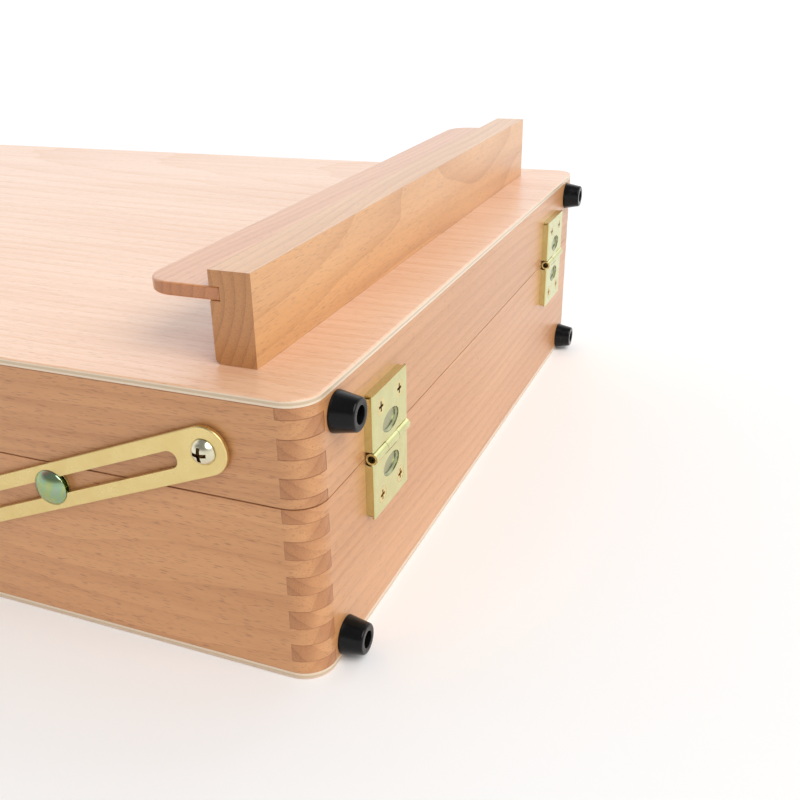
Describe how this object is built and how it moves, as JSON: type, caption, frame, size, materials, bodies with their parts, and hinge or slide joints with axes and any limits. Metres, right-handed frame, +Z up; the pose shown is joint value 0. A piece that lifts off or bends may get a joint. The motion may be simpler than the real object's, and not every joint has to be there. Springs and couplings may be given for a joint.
{
  "type": "table box easel",
  "caption": "Beech box easel for a table: a finger-jointed case whose hinged lid, with a canvas ledge, is held up by slotted stays.",
  "frame": {"origin": "middle of the underside of the case, on the surface it stands on", "axes": "+Z up, +Y from the hinge side to the handle side, +X across, to the right of someone who faces the hinges"},
  "size_m": [0.3514, 0.4525, 0.1288],
  "materials": {
    "beech": "clear satin varnish",
    "beech_ledge": "clear satin varnish",
    "beech_inner": "bare sanded wood",
    "plywood": "clear satin varnish",
    "grip_wood": "varnished turned wood",
    "brass": "brass plated, satin",
    "yellow_zinc": "yellow passivated zinc",
    "bright_steel": "bright zinc",
    "black_rubber": "moulded, semi-matt"
  },
  "bodies": {
    "case": {"case_back_board": "beech", "case_bottom_panel": "plywood", "case_foot_left": "black_rubber", "case_foot_right": "black_rubber", "case_foot_screws": "bright_steel", "case_front_board": "beech", "case_side_board_left": "beech", "case_side_board_right": "beech", "divider_long": "beech_inner", "divider_short_left": "beech_inner", "divider_short_right": "beech_inner", "handle_bracket_left": "brass", "handle_bracket_right": "brass", "handle_bracket_screws": "brass", "hinge_lower_leaf_left": "brass", "hinge_lower_leaf_right": "brass", "hinge_lower_screws": "brass", "hinge_pin_left": "brass", "hinge_pin_right": "brass", "hook_pivot_screw_left": "brass", "hook_pivot_screw_right": "brass", "stay_stud_left": "yellow_zinc", "stay_stud_right": "yellow_zinc", "wing_nut_washer_left": "yellow_zinc", "wing_nut_washer_right": "yellow_zinc"},
    "lid": {"lid_front_board": "beech", "lid_back_board": "beech", "lid_side_board_left": "beech", "lid_side_board_right": "beech", "lid_top_panel": "plywood", "ledge_bar": "beech_ledge", "ledge_lip": "beech_ledge", "ledge_screws": "bright_steel", "hinge_upper_leaf_left": "brass", "hinge_upper_leaf_right": "brass", "hinge_upper_screws": "brass", "lid_foot_left": "black_rubber", "lid_foot_right": "black_rubber", "lid_foot_screws": "bright_steel", "stay_pivot_screw_left": "brass", "stay_pivot_screw_right": "brass", "stay_pivot_washer_left": "brass", "stay_pivot_washer_right": "brass", "hook_pin_screw_left": "brass", "hook_pin_screw_right": "brass"},
    "stay_left": {"stay_left": "brass"},
    "bolt_left": {"stay_bolt_left": "yellow_zinc", "stay_bolt_washer_left": "brass"},
    "wing_nut_left": {"wing_nut_left": "yellow_zinc"},
    "hook_left": {"hook_left": "brass"},
    "stay_right": {"stay_right": "brass"},
    "bolt_right": {"stay_bolt_right": "yellow_zinc", "stay_bolt_washer_right": "brass"},
    "wing_nut_right": {"wing_nut_right": "yellow_zinc"},
    "hook_right": {"hook_right": "brass"},
    "handle": {"handle_wire": "bright_steel", "handle_grip": "grip_wood"}
  },
  "joints": [
    {"name": "lid_hinge", "type": "hinge", "parent": "case", "child": "lid", "pos_m": [0, -0.2173, 0.06325], "axis": [1, 0, 0], "range_deg": [0, 75]},
    {"name": "stay_left_pivot", "type": "hinge", "parent": "lid", "child": "stay_left", "pos_m": [-0.17175, -0.1807, 0.07935], "axis": [1, 0, 0], "range_deg": [-78.19, 0]},
    {"name": "stay_left_slot", "type": "slide", "parent": "stay_left", "child": "bolt_left", "axis": [0, 0.9315, -0.3638], "range_m": [0, 0.04847]},
    {"name": "stay_right_pivot", "type": "hinge", "parent": "lid", "child": "stay_right", "pos_m": [0.17175, -0.1807, 0.07935], "axis": [1, 0, 0], "range_deg": [-78.19, 0]},
    {"name": "stay_right_slot", "type": "slide", "parent": "stay_right", "child": "bolt_right", "axis": [0, 0.9315, -0.3638], "range_m": [0, 0.04847]},
    {"name": "wing_nut_left_turn", "type": "hinge", "parent": "case", "child": "wing_nut_left", "pos_m": [-0.156, -0.119, 0.05525], "axis": [-1, 0, 0], "range_deg": [0, 360]},
    {"name": "wing_nut_right_turn", "type": "hinge", "parent": "case", "child": "wing_nut_right", "pos_m": [0.156, -0.119, 0.05525], "axis": [1, 0, 0], "range_deg": [0, 360]},
    {"name": "hook_left_swing", "type": "hinge", "parent": "case", "child": "hook_left", "pos_m": [-0.11, 0.21615, 0.0461], "axis": [0, 1, 0], "range_deg": [0, 180]},
    {"name": "hook_right_swing", "type": "hinge", "parent": "case", "child": "hook_right", "pos_m": [0.11, 0.21615, 0.0461], "axis": [0, -1, 0], "range_deg": [0, 180]},
    {"name": "handle_swing", "type": "hinge", "parent": "case", "child": "handle", "pos_m": [0, 0.223, 0.0481], "axis": [1, 0, 0], "range_deg": [0, 180]}
  ],
  "couplings": [
    {"joint": "stay_left_pivot", "follows": "lid_hinge", "ratio": -1.0419},
    {"joint": "stay_left_slot", "follows": "lid_hinge", "m_per_rad": 0.037011},
    {"joint": "stay_right_pivot", "follows": "lid_hinge", "ratio": -1.0419},
    {"joint": "stay_right_slot", "follows": "lid_hinge", "m_per_rad": 0.037011}
  ]
}
